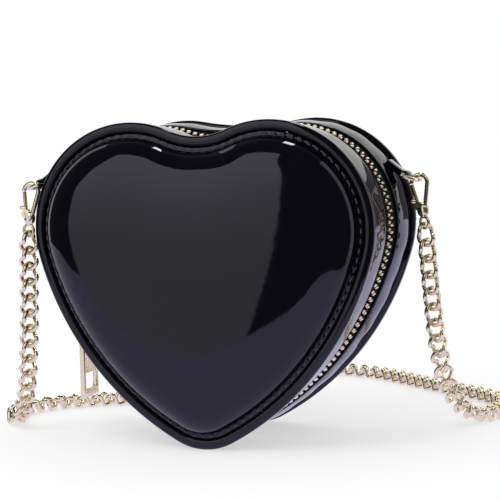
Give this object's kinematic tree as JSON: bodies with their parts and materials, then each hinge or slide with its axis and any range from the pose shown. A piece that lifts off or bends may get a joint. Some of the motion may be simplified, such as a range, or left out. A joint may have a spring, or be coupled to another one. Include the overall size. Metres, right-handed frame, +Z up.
{
  "type": "heart shaped purse",
  "caption": "Heart shaped zip bag of glossy sheet with a domed padded front, a gusset that unzips and folds open round the side, and a curb chain strap on lobster clasps.",
  "frame": {"origin": "the heart's tip, where the bag stands on the floor, half way between the rims' outer faces", "axes": "+X across the heart to the viewer's right, the domed front faces -Y, +Z up"},
  "size_m": [0.2572, 0.2423, 0.1563],
  "materials": {
    "patent": "black patent coated sheet, mirror gloss",
    "gold": "polished light gold plating",
    "zip_tape": "black woven polyester tape",
    "lining": "black plain weave lining",
    "board": "stiffening board",
    "foam": "open cell foam",
    "steel": "plain steel",
    "thread": "black bonded thread"
  },
  "bodies": {
    "rear_shell": {"back_rim": "patent", "back_panel": "patent", "back_foam": "foam", "back_board": "board", "back_lining": "lining", "back_stitching": "thread", "rear_gusset_band": "patent", "rear_gusset_lining": "lining", "rear_zip_tape": "zip_tape", "rear_zip_teeth": "gold", "zip_end_stops": "gold", "rear_fold_strip": "patent", "right_ring_tab": "patent", "right_d_ring": "gold", "chain_left_drop": "gold", "chain_floor": "gold", "chain_right_drop": "gold"},
    "front_shell": {"front_rim": "patent", "front_panel": "patent", "front_foam": "foam", "front_board": "board", "front_lining": "lining", "front_stitching": "thread", "front_gusset_band": "patent", "front_gusset_lining": "lining", "front_zip_tape": "zip_tape", "front_zip_teeth": "gold", "front_fold_strip": "patent", "left_ring_tab": "patent", "left_d_ring": "gold"},
    "slider": {"zip_slider": "gold", "slider_bail": "gold"},
    "pull": {"zip_pull": "gold"},
    "left_clasp": {"left_clasp_body": "gold", "left_clasp_pin": "steel", "left_clasp_spring": "steel"},
    "left_gate": {"left_clasp_gate": "gold"},
    "right_clasp": {"right_clasp_body": "gold", "right_clasp_pin": "steel", "right_clasp_spring": "steel"},
    "right_gate": {"right_clasp_gate": "gold"}
  },
  "joints": [
    {"name": "front_fold", "type": "hinge", "parent": "rear_shell", "child": "front_shell", "pos_m": [-0.04618, 0, 0.03026], "axis": [0.704, 0, -0.7102], "range_deg": [0, 55], "deforming": ["chain_left_drop"]},
    {"name": "slider_travel", "type": "hinge", "parent": "rear_shell", "child": "slider", "pos_m": [0.05537, 0, 0.13093], "axis": [0, 1, 0], "range_deg": [0, 6]},
    {"name": "pull_swing", "type": "hinge", "parent": "slider", "child": "pull", "pos_m": [-0.07807, 0, 0.06904], "axis": [0, 1, 0], "range_deg": [-18, 120]},
    {"name": "left_clasp_swing", "type": "hinge", "parent": "front_shell", "child": "left_clasp", "pos_m": [-0.09156, -0.03, 0.12492], "axis": [0, 1, 0], "range_deg": [-5, 35], "deforming": ["chain_left_drop"]},
    {"name": "right_clasp_swing", "type": "hinge", "parent": "rear_shell", "child": "right_clasp", "pos_m": [0.09156, 0.023, 0.12492], "axis": [0, 1, 0], "range_deg": [-35, 5], "deforming": ["chain_right_drop"]},
    {"name": "left_gate_swing", "type": "hinge", "parent": "left_clasp", "child": "left_gate", "pos_m": [-0.09488, -0.03, 0.11256], "axis": [0, 1, 0], "range_deg": [0, 15], "stiffness_Nm_per_rad": 0.004},
    {"name": "right_gate_swing", "type": "hinge", "parent": "right_clasp", "child": "right_gate", "pos_m": [0.09111, 0.023, 0.11213], "axis": [0, 1, 0], "range_deg": [0, 15], "stiffness_Nm_per_rad": 0.004}
  ]
}
